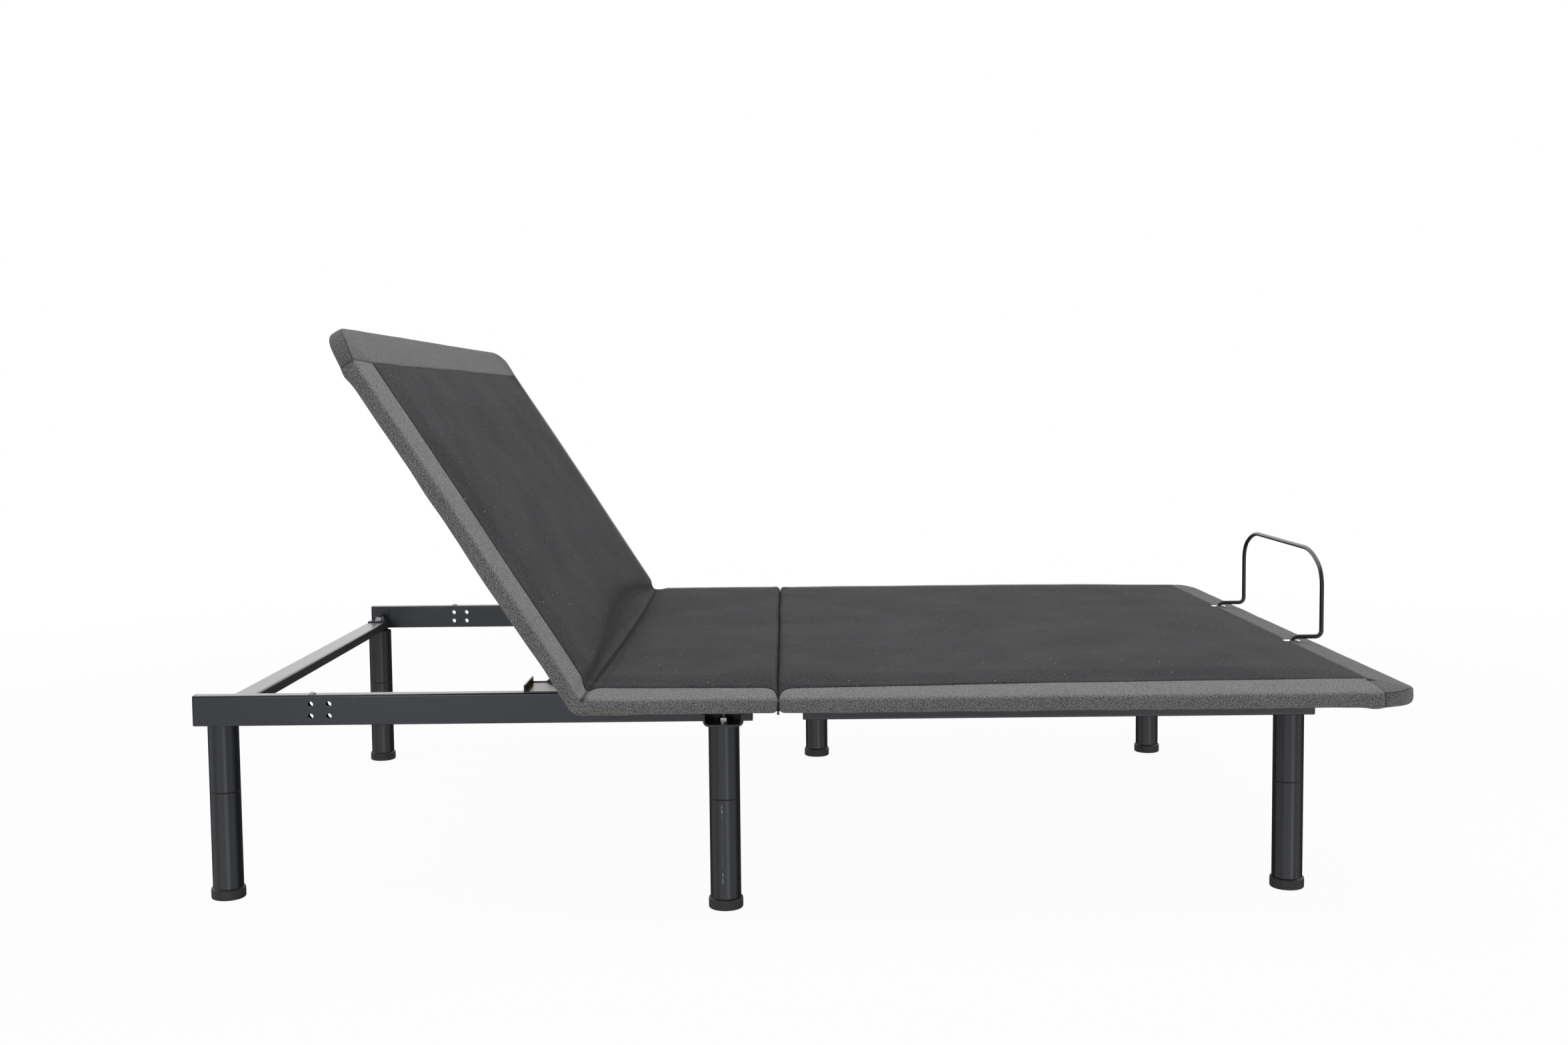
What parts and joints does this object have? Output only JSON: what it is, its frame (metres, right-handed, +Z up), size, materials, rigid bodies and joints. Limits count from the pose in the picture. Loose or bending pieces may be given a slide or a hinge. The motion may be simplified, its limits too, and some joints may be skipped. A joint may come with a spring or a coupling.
{
  "type": "adjustable bed base",
  "caption": "Flat upholstered bed base on a steel frame with round legs; the head panel lifts on a motor-driven torque tube and a bent bar at the foot retains the mattress.",
  "frame": {"origin": "centre of the floor footprint, on the floor", "axes": "+X along the bed towards the foot end, +Y towards the far side, +Z up"},
  "size_m": [1.981, 1.524, 0.9565],
  "materials": {
    "powder_coat": "satin charcoal powder coat",
    "zinc": "bright zinc plate",
    "black_plastic": "matte",
    "motor_steel": "satin black",
    "clear_rubber": "clear soft",
    "roller_nylon": "matte",
    "board": "raw",
    "black_cloth": "smooth black cloth",
    "grey_cloth": "heather grey weave"
  },
  "bodies": {
    "frame": {"head_rail_near": "powder_coat", "head_rail_far": "powder_coat", "foot_rail_near": "powder_coat", "foot_rail_far": "powder_coat", "head_cross_tube": "powder_coat", "foot_cross_tube": "powder_coat", "motor_cross_tube": "powder_coat", "rail_caps": "black_plastic", "corner_plates": "powder_coat", "leg_brackets": "powder_coat", "splice_bars": "powder_coat", "splice_bolts": "zinc", "rest_channels": "powder_coat", "deck_channels": "powder_coat", "rail_bumpers": "clear_rubber", "leg_tube_head_near": "powder_coat", "leg_tube_head_far": "powder_coat", "leg_tube_middle_near": "powder_coat", "leg_tube_middle_far": "powder_coat", "leg_tube_foot_near": "powder_coat", "leg_tube_foot_far": "powder_coat", "leg_end_head_near": "powder_coat", "leg_end_head_far": "powder_coat", "leg_end_middle_near": "powder_coat", "leg_end_middle_far": "powder_coat", "leg_end_foot_near": "powder_coat", "leg_end_foot_far": "powder_coat", "foot_caps": "black_plastic", "leg_nuts": "zinc", "foot_board": "board", "foot_battens": "board", "foot_pad": "black_cloth", "foot_border": "grey_cloth", "seat_board": "board", "seat_battens": "board", "seat_pad": "black_cloth", "seat_border": "grey_cloth", "hinge_seat_leaves": "zinc", "hinge_pins": "zinc", "pivot_plates": "powder_coat", "actuator_housing": "black_plastic", "actuator_motor": "motor_steel", "motor_bracket": "zinc", "control_box": "black_plastic", "bar_sockets": "zinc"},
    "head_panel": {"head_board": "board", "head_battens": "board", "head_pad": "black_cloth", "head_border": "grey_cloth", "head_stiffener": "powder_coat", "hinge_head_leaves": "zinc"},
    "lift_tube": {"torque_tube": "powder_coat", "lift_arms": "powder_coat", "lever_plates": "powder_coat", "lever_pin": "zinc"},
    "near_roller": {"roller_near": "roller_nylon"},
    "far_roller": {"roller_far": "roller_nylon"},
    "push_rod": {"actuator_rod": "zinc"},
    "bar": {"mattress_bar": "powder_coat"}
  },
  "joints": [
    {"name": "head_lift", "type": "hinge", "parent": "frame", "child": "head_panel", "pos_m": [-0.33205, 0, 0.366], "axis": [0, 1, 0], "range_deg": [-57.4, 2.6]},
    {"name": "torque_turn", "type": "hinge", "parent": "frame", "child": "lift_tube", "pos_m": [-0.34805, 0, 0.342], "axis": [0, 1, 0], "range_deg": [-58, 3]},
    {"name": "rod_swing", "type": "hinge", "parent": "lift_tube", "child": "push_rod", "pos_m": [-0.37396, 0, 0.29235], "axis": [0, 1, 0], "range_deg": [-3, 58]},
    {"name": "near_roller_spin", "type": "hinge", "parent": "lift_tube", "child": "near_roller", "pos_m": [-0.50205, -0.4955, 0.59946], "axis": [0, 1, 0], "continuous": true},
    {"name": "far_roller_spin", "type": "hinge", "parent": "lift_tube", "child": "far_roller", "pos_m": [-0.50205, 0.4955, 0.59946], "axis": [0, 1, 0], "continuous": true},
    {"name": "bar_lift", "type": "slide", "parent": "frame", "child": "bar", "axis": [0, 0, 1], "range_m": [0, 0.06]}
  ],
  "couplings": [
    {"joint": "torque_turn", "follows": "head_lift", "ratio": 1.0059},
    {"joint": "rod_swing", "follows": "head_lift", "ratio": -1.0059}
  ]
}
